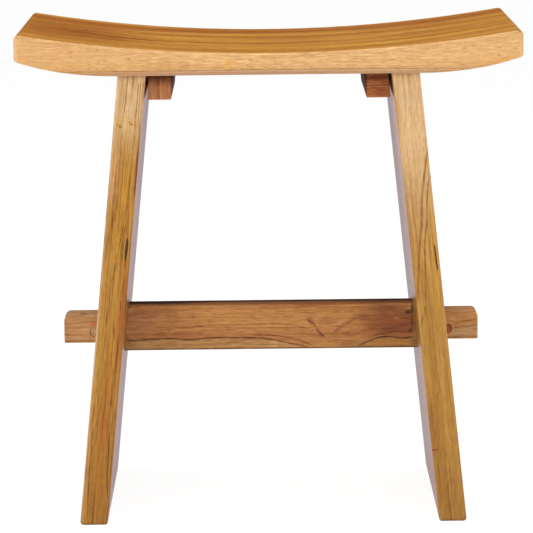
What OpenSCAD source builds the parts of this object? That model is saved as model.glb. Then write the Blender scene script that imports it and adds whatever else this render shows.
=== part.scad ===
// Saddle-topped shower bench in solid teak: a dished seat board on two leaning slab legs,
// tied together by one rail whose tenons pass through the legs and are locked by round pegs.
// Millimetres. X runs along the seat, Y from front to back and Z up from the floor.
// The origin is on the floor, under the middle of the seat.

/* [Seat] */
// Length of the seat board, end to end
seat_len = 457; // [420:1:560]
// Depth of the seat board, front to back
seat_depth = 300; // [285:1:380]
// Thickness of the board at the lowest point of the saddle
seat_thick = 19.5; // [18:0.5:30]
// How far the saddle dips below the tops of its two ends
seat_dip = 19; // [10:0.5:28]
// How far the underside climbs towards each end of the board
seat_end_rise = 14.5; // [8:0.5:16]
// How far the board reaches past the outside of each leg, at its underside
seat_overhang = 92.5; // [72:0.25:105]
// How far the flat of the underside runs on past the outside of each leg
seat_flat_margin = 2; // [1:0.5:12]
// Width of the bevel along the lower front and back edges
seat_bevel = 6; // [2:0.5:9]
// Radius of the eased edges along the front and back of the saddle
saddle_edge_r = 2; // [0.5:0.25:4]
// Radius of the round-over across the top of each end
seat_end_r = 4.5; // [2:0.5:7]
// Radius of the round-over across the bottom of each end
seat_tip_r = 3; // [1:0.5:4]
// Radius of the four upright corners of the board
seat_corner_r = 6; // [3:0.5:14]

/* [Legs] */
// Height of the legs, from the floor to the underside of the seat
leg_height = 411.5; // [340:0.5:460]
// Lean of each leg away from upright, in degrees
leg_lean = 5.65; // [4:0.05:8]
// Thickness of the leg boards
leg_thick = 25; // [23:0.5:32]
// Width of the leg boards, front to back
leg_depth = 275; // [240:1:282]
// Radius of the eased long edges of the legs
leg_edge_r = 2.5; // [1:0.25:5]
// Radius of the rounded edges of the feet
foot_edge_r = 3.5; // [1:0.25:6]

/* [Rail] */
// Height of the rail between the legs
rail_height = 42.5; // [36:0.5:60]
// Thickness of the rail and of its tenons, front to back
rail_thick = 31; // [22:0.5:40]
// Height of the underside of the rail above the floor
rail_bottom = 142; // [100:1:190]
// Height of the tenons
tenon_height = 27; // [24:0.5:30]
// How far each tenon stands out of the leg at its middle height
tenon_proud = 33.5; // [24:0.5:45]
// Radius of the rounded upper corner at each tenon's tip
tenon_top_r = 6; // [2:0.5:9]
// Radius of the eased edges of the rail and the tenons
rail_edge_r = 1.5; // [0.5:0.25:3]
// Diameter of the peg that locks each tenon
peg_d = 9; // [8:0.5:12]
// How far the pegs lie below the middle of the tenons
peg_drop = 3.5; // [0:0.5:4]

/* [Cleats] */
// Thickness of each cleat, along the seat
cleat_thick = 22; // [18:0.5:30]
// Height of each cleat
cleat_height = 27; // [18:0.5:32]
// Length of each cleat, front to back
cleat_len = 172; // [140:1:220]
// Gap between each cleat and its leg
cleat_gap = 2.2; // [0.5:0.1:4]
// Radius of the eased edges of the cleats
cleat_edge_r = 1.2; // [0.5:0.1:2.5]

/* [Fixings] */
// Number of dowels in the top of each leg
dowel_count = 4; // [2:1:5]
// Distance between neighbouring dowels
dowel_pitch = 62; // [40:1:62]
// Diameter of the dowels
dowel_d = 10; // [6:0.5:12]
// Depth of each dowel in the seat
dowel_in_seat = 13; // [8:0.5:14]
// Depth of each dowel in the leg
dowel_in_leg = 27; // [18:0.5:40]
// Number of screws through each cleat
screw_count = 3; // [2:1:4]
// Distance between the screws nearest the two ends of a cleat
screw_spread = 132; // [90:1:134]
// Diameter of the screw's shank
screw_d = 4.5; // [3.5:0.1:5.5]
// Diameter of the screw's countersunk head
screw_head_d = 9; // [8:0.1:11]
// Depth of each screw in the seat
screw_bite = 13; // [8:0.5:14]
// How deep the heads sit below the cleat's lower face
screw_sink = 0.6; // [0.2:0.1:1.5]

/* [Hidden] */

// Clearance on every side of a tenon, peg, dowel or screw in its hole, and at the rail's shoulders
fit_gap = 0.1;
// Space left at the blind end of a dowel or screw hole
end_gap = 1;
// Bevel on the ends of the pegs and dowels
plug_bevel = 0.8;
// Extra length that takes a cutting shape clear of the surface that it cuts
past = 5;
// Facets on the long curves, the small round-overs and the round fixings
long_fn = 720;
round_fn = 64;
plug_fn = 48;

seat_colour = [0.80, 0.60, 0.34];
leg_colour = [0.72, 0.52, 0.27];
rail_colour = [0.60, 0.38, 0.24];
cleat_colour = [0.50, 0.29, 0.17];
peg_colour = [0.40, 0.20, 0.13];
dowel_colour = [0.83, 0.70, 0.50];
screw_colour = [0.72, 0.73, 0.75];

// The legs: where their faces stand at a height z, on the right-hand side
seat_half = seat_len / 2;
leg_run = leg_thick / cos(leg_lean);
function leg_out(z) = seat_half - seat_overhang + (leg_height - z) * tan(leg_lean);
function leg_in(z) = leg_out(z) - leg_run;
function leg_mid(z) = leg_out(z) - leg_run / 2;

// The seat: its saddle is part of a drum that lies across it, and each end of its underside
// is an arc that leaves the flat smoothly
saddle_low = leg_height + seat_thick;
seat_top = saddle_low + seat_dip;
saddle_r = (pow(seat_half, 2) + pow(seat_dip, 2)) / (2 * seat_dip);
flat_half = leg_out(leg_height) + seat_flat_margin;
end_run = seat_half - flat_half;
end_arc_r = (pow(end_run, 2) + pow(seat_end_rise, 2)) / (2 * seat_end_rise);

// The rail and its tenons
rail_top = rail_bottom + rail_height;
tenon_mid = rail_bottom + rail_height / 2;
tenon_bottom = tenon_mid - tenon_height / 2;
tenon_top = tenon_mid + tenon_height / 2;
tenon_tip = leg_out(tenon_mid) + tenon_proud;
peg_z = tenon_mid - peg_drop;
peg_x = leg_out(peg_z) + (peg_d / 2 + fit_gap) / cos(leg_lean);

// The cleats: their sides lean with the legs
cleat_bottom = leg_height - cleat_height;
function cleat_out(z) = leg_in(z) - cleat_gap / cos(leg_lean);
function cleat_in(z) = cleat_out(z) - cleat_thick / cos(leg_lean);

// The fixings
dowel_x = leg_mid(leg_height - dowel_in_leg / 2);
screw_x = (cleat_out(leg_height - cleat_height / 2) + cleat_in(leg_height - cleat_height / 2)) / 2;
screw_head_h = (screw_head_d - screw_d) / 2;
screw_bottom = cleat_bottom + screw_sink;
screw_top = leg_height + screw_bite;
function dowel_y(i) = (i - (dowel_count - 1) / 2) * dowel_pitch;
function screw_y(i) = (i / (screw_count - 1) - 0.5) * screw_spread;

// ---- shared shapes ----

// Stands an outline drawn in X and Z upright, and makes it "deep" from front to back
module across(deep) {
    rotate([90, 0, 0])
        linear_extrude(deep, center = true)
            children();
}

// Stands an outline drawn in Y and Z upright, and makes it "wide" from left to right
module along(wide) {
    rotate([90, 0, 90])
        linear_extrude(wide, center = true)
            children();
}

// What a round-over takes off: everything between the directions a1 and a2
// that lies outside a circle of radius r about the point c
module round_off(c, r, a1, a2) {
    reach = r + 1;
    middle = (a1 + a2) / 2;
    corner = reach / cos((a2 - a1) / 2);
    translate(c)
        difference() {
            polygon([[0, 0],
                     reach * [cos(a1), sin(a1)],
                     corner * [cos(middle), sin(middle)],
                     reach * [cos(a2), sin(a2)]]);
            circle(r, $fn = round_fn);
        }
}

// A rectangle about the origin with its four corners rounded
module eased_rectangle(size, r) {
    difference() {
        square(size, center = true);
        for (sx = [-1, 1], sy = [-1, 1])
            scale_corner(sx, sy)
                round_off([size[0] / 2 - r, size[1] / 2 - r], r, 0, 90);
    }
}

// Mirrors a corner shape into the quarter given by the two signs
module scale_corner(sx, sy) {
    mirror([sx < 0 ? 1 : 0, 0])
        mirror([0, sy < 0 ? 1 : 0])
            children();
}

// Draws a shape once on the right and once on the left
module both_sides() {
    children();
    mirror([1, 0, 0])
        children();
}

// A round plug from z = 0 up, with both ends bevelled
module plug(d, h) {
    cylinder(h = plug_bevel, d1 = d - 2 * plug_bevel, d2 = d, $fn = plug_fn);
    translate([0, 0, plug_bevel])
        cylinder(h = h - 2 * plug_bevel, d = d, $fn = plug_fn);
    translate([0, 0, h - plug_bevel])
        cylinder(h = plug_bevel, d1 = d, d2 = d - 2 * plug_bevel, $fn = plug_fn);
}

// ---- seat ----

// The board seen from the front, before the saddle is cut: flat below, with an arc at each end
module seat_side() {
    tip_x = seat_half - seat_tip_r;
    tip_drop = sqrt(pow(end_arc_r - seat_tip_r, 2) - pow(tip_x - flat_half, 2));
    tip_z = leg_height + end_arc_r - tip_drop;
    tip_turn = asin((tip_x - flat_half) / (end_arc_r - seat_tip_r));
    end_x = seat_half - seat_end_r;
    end_z = saddle_low + saddle_r - sqrt(pow(saddle_r + seat_end_r, 2) - pow(end_x, 2));
    end_turn = asin(end_x / (saddle_r + seat_end_r));
    difference() {
        union() {
            translate([-flat_half, leg_height])
                square([2 * flat_half, seat_top - leg_height]);
            both_sides()
                intersection() {
                    translate([flat_half, leg_height + end_arc_r])
                        circle(end_arc_r, $fn = long_fn);
                    translate([flat_half - 1, leg_height])
                        square([end_run + 1, seat_top - leg_height]);
                }
        }
        both_sides() {
            round_off([tip_x, tip_z], seat_tip_r, tip_turn - 90, 0);
            round_off([end_x, end_z], seat_end_r, 0, 90 + end_turn);
        }
    }
}

// The board seen from one end: square above, bevelled along both lower edges
module seat_end() {
    half = seat_depth / 2;
    polygon([[-half + seat_bevel, leg_height],
             [half - seat_bevel, leg_height],
             [half, leg_height + seat_bevel],
             [half, seat_top + past],
             [-half, seat_top + past],
             [-half, leg_height + seat_bevel]]);
}

// The drum that scoops the saddle: its rims flare, which eases the long top edges
module saddle_drum() {
    rim = seat_depth / 2 - saddle_edge_r;
    translate([0, 0, saddle_low + saddle_r])
        rotate([90, 0, 0])
            rotate_extrude($fn = long_fn) {
                translate([0, -seat_depth / 2 - past])
                    square([saddle_r, seat_depth + 2 * past]);
                for (side = [0, 1])
                    mirror([0, side])
                        difference() {
                            translate([saddle_r - 1, rim])
                                square([saddle_edge_r + 1, saddle_edge_r + past]);
                            translate([saddle_r + saddle_edge_r, rim])
                                circle(saddle_edge_r, $fn = round_fn);
                        }
            }
}

module seat() {
    color(seat_colour)
        difference() {
            intersection() {
                across(seat_depth)
                    seat_side();
                along(seat_len)
                    seat_end();
                translate([0, 0, leg_height])
                    linear_extrude(seat_top - leg_height)
                        eased_rectangle([seat_len, seat_depth], seat_corner_r);
            }
            saddle_drum();
            both_sides() {
                for (i = [0 : dowel_count - 1])
                    translate([dowel_x, dowel_y(i), leg_height - past])
                        cylinder(h = past + dowel_in_seat + end_gap, d = dowel_d + 2 * fit_gap, $fn = plug_fn);
                for (i = [0 : screw_count - 1])
                    translate([screw_x, screw_y(i), leg_height - past])
                        cylinder(h = past + screw_bite + end_gap, d = screw_d + 2 * fit_gap, $fn = plug_fn);
            }
        }
}

// ---- legs ----

// The right-hand leg seen from the front, with the edges of its foot rounded
module leg_side() {
    heel = foot_edge_r / cos(leg_lean);
    difference() {
        polygon([[leg_in(0), 0],
                 [leg_out(0), 0],
                 [leg_out(leg_height), leg_height],
                 [leg_in(leg_height), leg_height]]);
        round_off([leg_out(foot_edge_r) - heel, foot_edge_r], foot_edge_r, -90, leg_lean);
        round_off([leg_in(foot_edge_r) + heel, foot_edge_r], foot_edge_r, 180 + leg_lean, 270);
    }
}

// The leg seen from one end, with its two lower corners rounded
module leg_end() {
    half = leg_depth / 2;
    difference() {
        translate([-half, 0])
            square([leg_depth, leg_height]);
        both_sides()
            round_off([half - foot_edge_r, foot_edge_r], foot_edge_r, -90, 0);
    }
}

// A leaning post of the leg's section, longer than the leg at both ends
module leg_post() {
    translate([leg_mid(0), 0, 0])
        rotate([0, -leg_lean, 0])
            translate([0, 0, -leg_thick])
                linear_extrude(leg_height / cos(leg_lean) + 2 * leg_thick)
                    eased_rectangle([leg_thick, leg_depth], leg_edge_r);
}

// The right-hand leg, with the mortise for the tenon and the holes for the dowels
module leg() {
    mortise_from = leg_in(tenon_top) - past;
    mortise_to = leg_out(tenon_bottom) + past;
    difference() {
        intersection() {
            across(leg_depth + 2 * past)
                leg_side();
            along(seat_len)
                leg_end();
            leg_post();
        }
        translate([mortise_from, -rail_thick / 2 - fit_gap, tenon_bottom - fit_gap])
            cube([mortise_to - mortise_from, rail_thick + 2 * fit_gap, tenon_height + 2 * fit_gap]);
        for (i = [0 : dowel_count - 1])
            translate([dowel_x, dowel_y(i), leg_height - dowel_in_leg - end_gap])
                cylinder(h = dowel_in_leg + end_gap + past, d = dowel_d + 2 * fit_gap, $fn = plug_fn);
    }
}

module leg_left() {
    color(leg_colour)
        mirror([1, 0, 0])
            leg();
}

module leg_right() {
    color(leg_colour)
        leg();
}

// ---- rail and pegs ----

// The middle of the rail seen from the front: its shoulders lean with the legs
module rail_side() {
    polygon([[-leg_in(rail_bottom) + fit_gap, rail_bottom],
             [leg_in(rail_bottom) - fit_gap, rail_bottom],
             [leg_in(rail_top) - fit_gap, rail_top],
             [-leg_in(rail_top) + fit_gap, rail_top]]);
}

// Both tenons seen from the front, in one strip: the upper corners at the tips are rounded
module tenon_side() {
    difference() {
        translate([-tenon_tip, tenon_bottom])
            square([2 * tenon_tip, tenon_height]);
        both_sides() {
            round_off([tenon_tip - tenon_top_r, tenon_top - tenon_top_r], tenon_top_r, 0, 90);
            round_off([tenon_tip - rail_edge_r, tenon_bottom + rail_edge_r], rail_edge_r, -90, 0);
        }
    }
}

module rail() {
    color(rail_colour)
        difference() {
            union() {
                intersection() {
                    across(rail_thick)
                        rail_side();
                    translate([0, 0, tenon_mid])
                        along(2 * tenon_tip)
                            eased_rectangle([rail_thick, rail_height], rail_edge_r);
                }
                intersection() {
                    across(rail_thick)
                        tenon_side();
                    translate([0, 0, tenon_mid])
                        along(2 * tenon_tip)
                            eased_rectangle([rail_thick, tenon_height], rail_edge_r);
                }
            }
            both_sides()
                translate([peg_x, 0, peg_z])
                    rotate([90, 0, 0])
                        cylinder(h = rail_thick + 2 * past, d = peg_d + 2 * fit_gap, center = true, $fn = plug_fn);
        }
}

// The right-hand peg: it lies front to back, against the outside of the leg
module peg() {
    translate([peg_x, rail_thick / 2, peg_z])
        rotate([90, 0, 0])
            plug(peg_d, rail_thick);
}

module peg_left() {
    color(peg_colour)
        mirror([1, 0, 0])
            peg();
}

module peg_right() {
    color(peg_colour)
        peg();
}

// ---- cleats ----

// The right-hand cleat seen from the front, with its lower edges eased
module cleat_side() {
    ease = cleat_edge_r / cos(leg_lean);
    low = cleat_bottom + cleat_edge_r;
    difference() {
        polygon([[cleat_in(cleat_bottom), cleat_bottom],
                 [cleat_out(cleat_bottom), cleat_bottom],
                 [cleat_out(leg_height), leg_height],
                 [cleat_in(leg_height), leg_height]]);
        round_off([cleat_out(low) - ease, low], cleat_edge_r, -90, leg_lean);
        round_off([cleat_in(low) + ease, low], cleat_edge_r, 180 + leg_lean, 270);
    }
}

// The cleat seen from one end of the bench, with its two lower corners eased
module cleat_end() {
    half = cleat_len / 2;
    difference() {
        translate([-half, cleat_bottom])
            square([cleat_len, cleat_height]);
        both_sides()
            round_off([half - cleat_edge_r, cleat_bottom + cleat_edge_r], cleat_edge_r, -90, 0);
    }
}

module cleat() {
    difference() {
        intersection() {
            across(cleat_len + 2 * past)
                cleat_side();
            along(seat_len)
                cleat_end();
        }
        for (i = [0 : screw_count - 1])
            translate([screw_x, screw_y(i), 0])
                screw_hole();
    }
}

// A countersunk hole through the cleat
module screw_hole() {
    wide = screw_head_d + 2 * fit_gap;
    narrow = screw_d + 2 * fit_gap;
    translate([0, 0, cleat_bottom - past])
        cylinder(h = past + screw_sink, d = wide, $fn = plug_fn);
    translate([0, 0, screw_bottom])
        cylinder(h = screw_head_h, d1 = wide, d2 = narrow, $fn = plug_fn);
    translate([0, 0, screw_bottom])
        cylinder(h = cleat_height + past, d = narrow, $fn = plug_fn);
}

module cleat_left() {
    color(cleat_colour)
        mirror([1, 0, 0])
            cleat();
}

module cleat_right() {
    color(cleat_colour)
        cleat();
}

// ---- fixings ----

// A wood screw, head down: a cross recess in the head, a plain shank and a point
module screw() {
    recess_w = screw_d / 4;
    recess_len = screw_head_d * 0.55;
    recess_deep = screw_head_h * 0.8;
    point_h = screw_d;
    difference() {
        union() {
            translate([0, 0, screw_bottom])
                cylinder(h = screw_head_h, d1 = screw_head_d, d2 = screw_d, $fn = plug_fn);
            translate([0, 0, screw_bottom])
                cylinder(h = screw_top - screw_bottom - point_h, d = screw_d, $fn = plug_fn);
            translate([0, 0, screw_top - point_h])
                cylinder(h = point_h, d1 = screw_d, d2 = screw_d / 8, $fn = plug_fn);
        }
        for (turn = [0, 90])
            rotate([0, 0, turn])
                translate([-recess_len / 2, -recess_w / 2, screw_bottom - past])
                    cube([recess_len, recess_w, past + recess_deep]);
    }
}

module cleat_screws() {
    for (i = [0 : screw_count - 1])
        translate([screw_x, screw_y(i), 0])
            screw();
}

module cleat_screws_left() {
    color(screw_colour)
        mirror([1, 0, 0])
            cleat_screws();
}

module cleat_screws_right() {
    color(screw_colour)
        cleat_screws();
}

module seat_dowels() {
    for (i = [0 : dowel_count - 1])
        translate([dowel_x, dowel_y(i), leg_height - dowel_in_leg])
            plug(dowel_d, dowel_in_leg + dowel_in_seat);
}

module seat_dowels_left() {
    color(dowel_colour)
        mirror([1, 0, 0])
            seat_dowels();
}

module seat_dowels_right() {
    color(dowel_colour)
        seat_dowels();
}

seat();
leg_left();
leg_right();
rail();
peg_left();
peg_right();
cleat_left();
cleat_right();
seat_dowels_left();
seat_dowels_right();
cleat_screws_left();
cleat_screws_right();
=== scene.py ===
import math

import bpy
from mathutils import Euler, Matrix, Vector

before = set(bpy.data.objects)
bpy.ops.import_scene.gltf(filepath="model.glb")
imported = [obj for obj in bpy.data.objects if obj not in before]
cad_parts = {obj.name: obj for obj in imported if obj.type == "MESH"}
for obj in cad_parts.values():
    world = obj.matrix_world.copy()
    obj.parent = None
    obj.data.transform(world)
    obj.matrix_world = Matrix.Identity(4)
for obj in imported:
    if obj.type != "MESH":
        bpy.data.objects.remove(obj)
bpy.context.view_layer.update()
print("frame loaded:", len(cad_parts), "pieces")

# The bench stands on the floor at z = 0, its length runs along x and it is seen from -y.
# Every board has a solid wood pattern, worked out in millimetres in the board's own frame, so its
# faces show one and the same piece of teak. A place in a board is (along the grain, across, depth):
# along and across are what the front face shows, and depth counts from the front face inwards.

mmPerMetre = 1000

# The grain that all boards share. A size is a pattern's length, width and depth in mm. A range says
# from which to which value of a noise, a share or a depth the pattern sets in, and the third and
# fourth number of a range are its first and last strength.
grain = {
    "noiseRange": (0.36, 0.64),  # most of what a noise gives lies in here
    "wobbleSize": (28, 9, 9), "wobbleDetail": 3,  # how the marks that are listed one by one waver
    "patchSize": (9, 2.5, 2.5),  # where veins, lines and spots break up
    "veinPatches": (0.42, 0.58), "linePatches": (0.36, 0.56, 0.35, 1), "spotPatches": (0.40, 0.55, 0.3, 1),
    "driftDetail": 3,
    "ringUnevenness": 2.2, "ringUnevenScale": 0.35,  # rings crowd and spread by about that many rings
    "ringStart": 0.7,  # how dark a growth ring starts
    "ringTones": ((0.12, 0.1), (0.5, 0), (0.82, 0.35)),  # then (place in the ring, darkness)
    "ringWeights": (0.2, 1),  # the faintest ring and the strongest
    "frontDepth": (1, 12),  # rings grow stronger between these depths
    "skinEdge": 0.5, "veinEdge": 2,  # how softly the skin and a vein end in depth
    "leastSpan": 0.001,  # so that a level vein has a span to work with too
    "streakSize": (110, 2.6, 2.6), "streakNoise": (3, 0.55),  # bundles of fibres; (detail, roughness)
    "darkStreaks": (0.45, 0.72), "paleStreaks": (0.5, 0.3), "paleColour": "#F0DDBB",
    "fibreWide": 0.9, "fibreNoise": (4, 0.7),  # coarser than the real 0.3 mm, so that fibres show
    "lineWide": 1.9, "lineRange": (0.54, 0.61),  # coarser too, for the same reason
    "mottleSize": (11, 2.6, 2.6), "mottleNoise": (3, 0.65), "mottleRange": (0.42, 0.68),
    "poreSize": (8, 1.7, 1.7), "poreRange": (0.34, 0.14),  # wider than the real 0.3 mm, so that pores show
    "poreCells": (0.45, 0.75), "poreInRing": (0, 0.5, 1, 0.5),
    "endRange": (0.6, 0.92), "endColour": "#B4875F",
    "glossSpread": (-0.05, 0.08),
    "ringRelief": 0.35, "fibreRelief": 0.3, "reliefHeight": 0.0002,  # shares of a height in metres
}

# What a vein and a spot have unless their own lines say otherwise. A vein with "on" 1 is drawn on the
# front face and goes "reach" mm into the wood, and one with "on" 2 is drawn as the top shows it, over
# the depth. "core" is the share of the size at full strength, "fade" the length in mm over which the
# ends fade, and "patchy" how much of the strength breaks away in patches.
plainVein = {"on": 1, "core": 0.2, "fade": 6, "reach": 8, "patchy": 0}
plainSpot = {"core": 0.1, "turn": 0, "patchy": False}


def linear(hexColour):
    # sRGB hex to the linear colour that a shader wants
    parts = [int(hexColour[i:i + 2], 16) / 255 for i in (1, 3, 5)]
    return [p / 12.92 if p <= 0.04045 else ((p + 0.055) / 1.055) ** 2.4 for p in parts] + [1]


def addNode(tree, kind, inputs, **settings):
    # inputs go by name or in their order; each is a value, or the node or socket that feeds it
    node = tree.nodes.new("ShaderNode" + kind)
    for name, value in settings.items():
        setattr(node, name, value)
    for socket, value in inputs.items() if isinstance(inputs, dict) else enumerate(inputs):
        if isinstance(value, bpy.types.Node):
            value = value.outputs[0]
        if isinstance(value, bpy.types.NodeSocket):
            tree.links.new(value, node.inputs[socket])
        else:
            node.inputs[socket].default_value = value
    return node


def emptyTree(owner):
    # the node tree of a new material or world, with nothing in it
    owner.use_nodes = True
    owner.node_tree.nodes.clear()
    return owner.node_tree


def woodNoise(tree, place, size, detail=2, roughness=0.5):
    # a noise drawn out to that size in mm: along the grain, across it and in depth
    scaled = addNode(tree, "VectorMath", (place, [1 / s for s in size]), operation="MULTIPLY")
    return addNode(tree, "TexNoise", {"Vector": scaled, "Scale": 1, "Detail": detail, "Roughness": roughness})


def shifted(tree, place, texture, amount):
    # a place moved across the grain by up to half that amount in mm, the way the texture says
    centred = addNode(tree, "VectorMath", (texture.outputs["Color"], [-0.5] * 3), operation="ADD")
    return addNode(tree, "VectorMath", (centred, (0, amount, amount), place), operation="MULTIPLY_ADD")


def boardPlace(tree, board):
    # object coordinates turned into the board's own millimetres, and how squarely a face cuts the grain
    here = addNode(tree, "TexCoord", ()).outputs
    toStart = [-s for s in board["start"]]
    place = addNode(tree, "VectorMath", (here["Object"], [mmPerMetre] * 3, toStart), operation="MULTIPLY_ADD")
    parts = [addNode(tree, "VectorMath", (place, axis), operation="DOT_PRODUCT").outputs["Value"]
             for axis in board["axes"]]
    facing = addNode(tree, "VectorMath", (here["Normal"], board["axes"][0]), operation="DOT_PRODUCT")
    squarely = addNode(tree, "Math", [facing.outputs["Value"]], operation="ABSOLUTE")
    return addNode(tree, "CombineXYZ", parts), squarely


def lineHeight(tree, along, path):
    # the height of a smooth line through those points, at each place along the grain
    first, last = path[0][0], path[-1][0]
    heights = [p[1] for p in path]
    low = min(heights)
    span = max(heights) - low + grain["leastSpan"]
    curve = addNode(tree, "FloatCurve", {"Value": addNode(tree, "MapRange", (along, first, last))})
    spots = [((x - first) / (last - first), (y - low) / span) for x, y in path]
    points = curve.mapping.curves[0].points
    points[0].location = spots[0]
    points[-1].location = spots[-1]
    for spot in spots[1:-1]:
        points.new(*spot)
    curve.mapping.update()
    return addNode(tree, "Math", (curve, span, low), operation="MULTIPLY_ADD")


def veinShare(tree, coords, vein, patches):
    # a line or band that follows the grain: 1 in its core and 0 from its width outwards. A vein with
    # "under" is 1 in all the wood below its path, however deep, with an edge that many mm soft
    vein = {**plainVein, **vein}
    path = vein["path"]
    height = lineHeight(tree, coords[0], path)
    gap = addNode(tree, "Math", (coords[vein["on"]], height), operation="SUBTRACT")
    if "under" in vein:
        edges = vein["under"], -vein["under"]
    else:
        gap = addNode(tree, "Math", [gap], operation="ABSOLUTE")
        edges = vein["width"], vein["width"] * vein["core"]
    share = addNode(tree, "MapRange", (gap, *edges), interpolation_type="SMOOTHSTEP")
    factors = [vein["strength"]]
    if vein["fade"] > 0:
        start = addNode(tree, "Math", (coords[0], path[0][0]), operation="SUBTRACT")
        end = addNode(tree, "Math", (path[-1][0], coords[0]), operation="SUBTRACT")
        nearest = addNode(tree, "Math", (start, end), operation="MINIMUM")
        factors.append(addNode(tree, "MapRange", (nearest, 0, vein["fade"])))
    if vein["on"] == 1 and "under" not in vein:
        reach = vein["reach"]
        factors.append(addNode(tree, "MapRange", (coords[2], reach + grain["veinEdge"], reach)))
    if vein["patchy"] > 0:
        strengths = 1 - vein["patchy"], 1
        factors.append(addNode(tree, "MapRange", (patches, *grain["veinPatches"], *strengths)))
    for factor in factors:
        share = addNode(tree, "Math", (share, factor), operation="MULTIPLY")
    return share


def spotShare(tree, place, spot, patches):
    # a soft blob: 1 in its core and 0 at its size, the half-lengths in mm
    spot = {**plainSpot, **spot}
    turn = (0, 0, math.radians(spot["turn"]))
    inputs = {"Vector": place, "Location": spot["at"], "Rotation": turn, "Scale": spot["size"]}
    local = addNode(tree, "Mapping", inputs, vector_type="TEXTURE")
    reach = addNode(tree, "VectorMath", [local], operation="LENGTH").outputs["Value"]
    share = addNode(tree, "MapRange", (reach, 1, spot["core"]), interpolation_type="SMOOTHSTEP")
    share = addNode(tree, "Math", (share, spot["strength"]), operation="MULTIPLY")
    if spot["patchy"]:
        broken = addNode(tree, "MapRange", (patches, *grain["spotPatches"]))
        share = addNode(tree, "Math", (share, broken), operation="MULTIPLY")
    return share


def growthRings(tree, place, board):
    # where a place lies in its growth ring, how dark the ring is there, and the tone of its band of
    # rings: a light or a deep one
    across, depth, lean = board["pith"]
    spoke = addNode(tree, "VectorMath", (place, (lean, 1, 1), (0, -across, -depth)), operation="MULTIPLY_ADD")
    radius = addNode(tree, "VectorMath", [spoke], operation="LENGTH").outputs["Value"]
    count = addNode(tree, "Math", (radius, board["ringWidth"]), operation="DIVIDE")
    inputs = {"W": count, "Scale": grain["ringUnevenScale"], "Detail": 1}
    uneven = addNode(tree, "TexNoise", inputs, noise_dimensions="1D")
    count = addNode(tree, "Math", (uneven, grain["ringUnevenness"], count), operation="MULTIPLY_ADD")
    phase = addNode(tree, "Math", [count], operation="FRACT")
    ramp = addNode(tree, "ValToRGB", [phase])
    stops = ramp.color_ramp.elements
    stops[0].color = [grain["ringStart"]] * 3 + [1]
    for position, darkness in grain["ringTones"]:
        stops.new(position).color = [darkness] * 3 + [1]
    whole = addNode(tree, "Math", [count], operation="FLOOR")
    weight = addNode(tree, "TexWhiteNoise", {"W": whole}, noise_dimensions="1D").outputs["Value"]
    weight = addNode(tree, "MapRange", (weight, 0, 1, *grain["ringWeights"]))
    dark = addNode(tree, "Math", (ramp, weight), operation="MULTIPLY")
    inputs = {"W": count, "Scale": 1 / board["ringsPerBand"], "Detail": 1}
    bands = addNode(tree, "TexNoise", inputs, noise_dimensions="1D")
    tone = addNode(tree, "MapRange", (bands, *grain["noiseRange"]), interpolation_type="SMOOTHSTEP")
    return phase, dark, tone


def woodPores(tree, place, phase):
    # open pores: short dark dashes, in some cells only and thickest where a growth ring starts
    cells = addNode(tree, "VectorMath", (place, [1 / s for s in grain["poreSize"]]), operation="MULTIPLY")
    cells = addNode(tree, "TexVoronoi", {"Vector": cells, "Scale": 1}).outputs
    pore = addNode(tree, "MapRange", (cells["Distance"], *grain["poreRange"]))
    chosen = addNode(tree, "SeparateXYZ", [cells["Color"]])
    chosen = addNode(tree, "MapRange", (chosen, *grain["poreCells"]))
    pore = addNode(tree, "Math", (pore, chosen), operation="MULTIPLY")
    inRing = addNode(tree, "MapRange", (phase, *grain["poreInRing"]))
    return addNode(tree, "Math", (pore, inRing), operation="MULTIPLY")


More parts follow.
